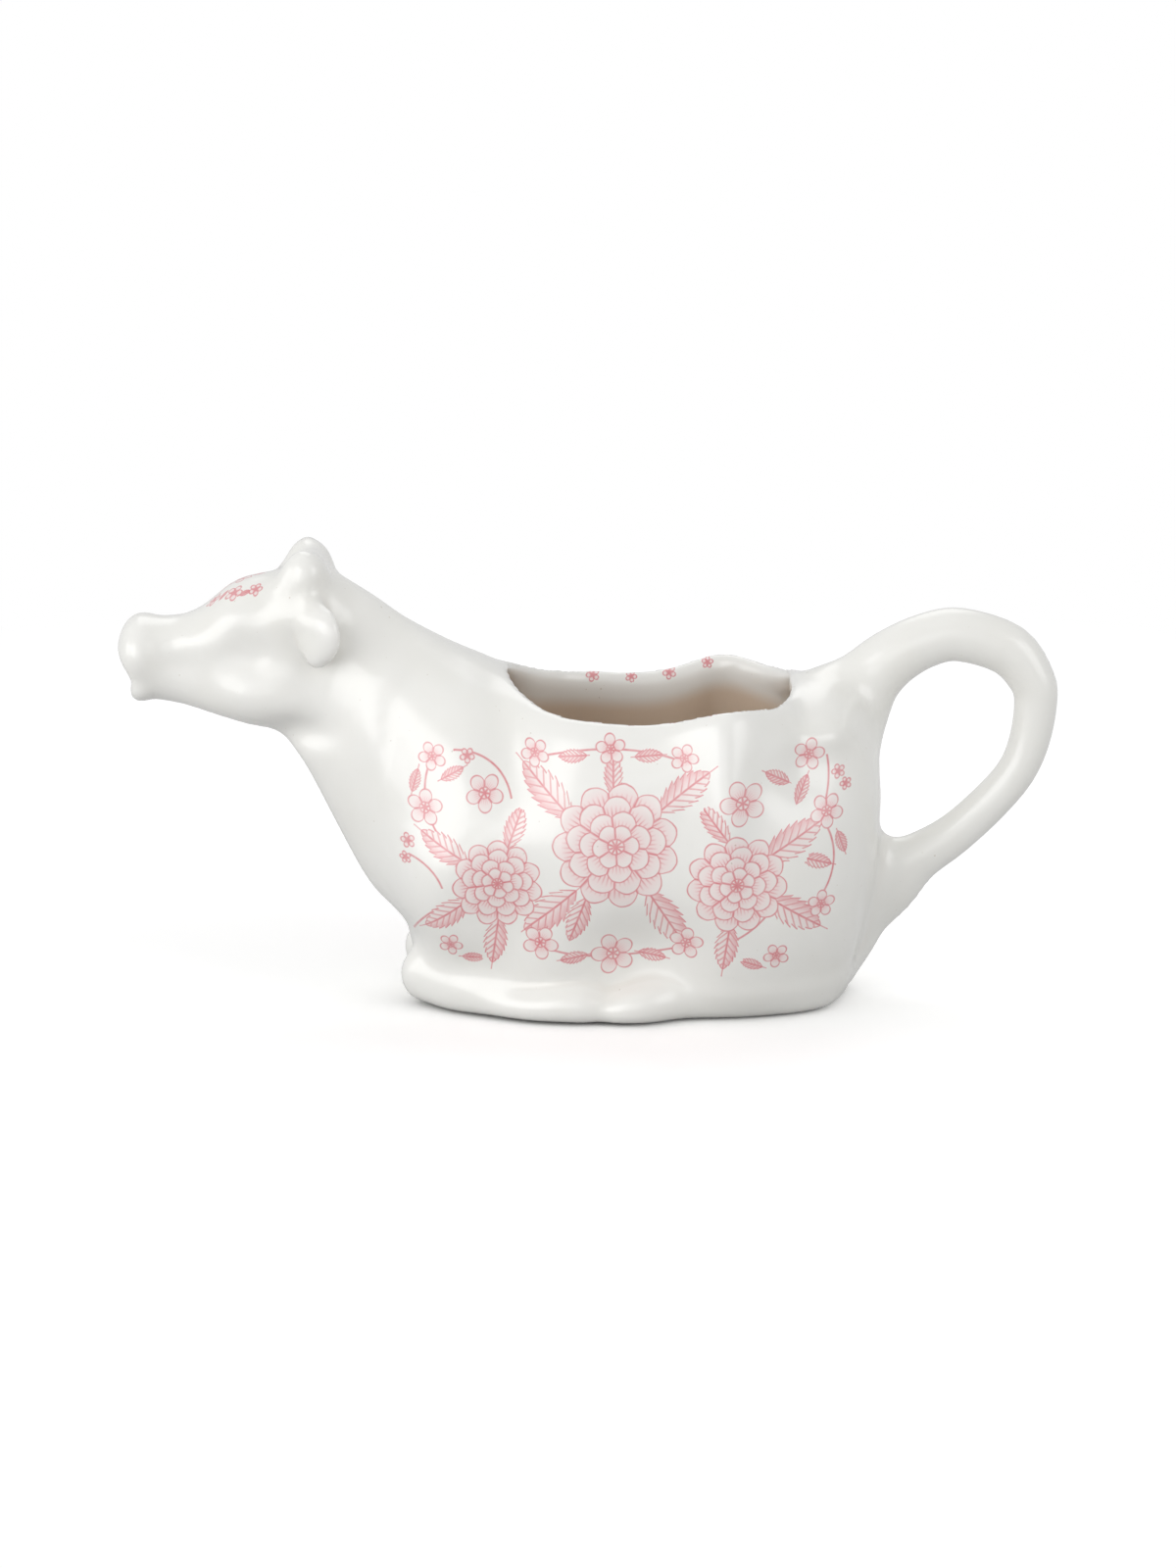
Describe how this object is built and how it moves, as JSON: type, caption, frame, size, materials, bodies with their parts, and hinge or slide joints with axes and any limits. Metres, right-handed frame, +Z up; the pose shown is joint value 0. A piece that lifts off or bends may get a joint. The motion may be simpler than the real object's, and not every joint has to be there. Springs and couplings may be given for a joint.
{
  "type": "cow creamer",
  "caption": "Glazed earthenware cream jug shaped as a lying cow: open along the back for filling, hollow head that pours from the mouth, tail raised as the handle.",
  "frame": {"origin": "on the table under the middle of the object's box", "axes": "+X from the cow's nose to the handle, +Z up, the cow's left side at -Y"},
  "size_m": [0.1911, 0.0718, 0.0927],
  "materials": {
    "glaze": "glossy clear glaze over cream-white earthenware with a pink underglaze print",
    "bisque": "glazed slab with a wiped, unglazed foot line"
  },
  "bodies": {
    "root": {"body_shell": "glaze", "base_slab": "bisque", "head": "glaze", "ear_left": "glaze", "ear_right": "glaze", "horn_left": "glaze", "horn_right": "glaze", "foreleg_left": "glaze", "foreleg_right": "glaze", "hindleg_left": "glaze", "hindleg_right": "glaze", "tail_handle": "glaze"}
  },
  "joints": []
}
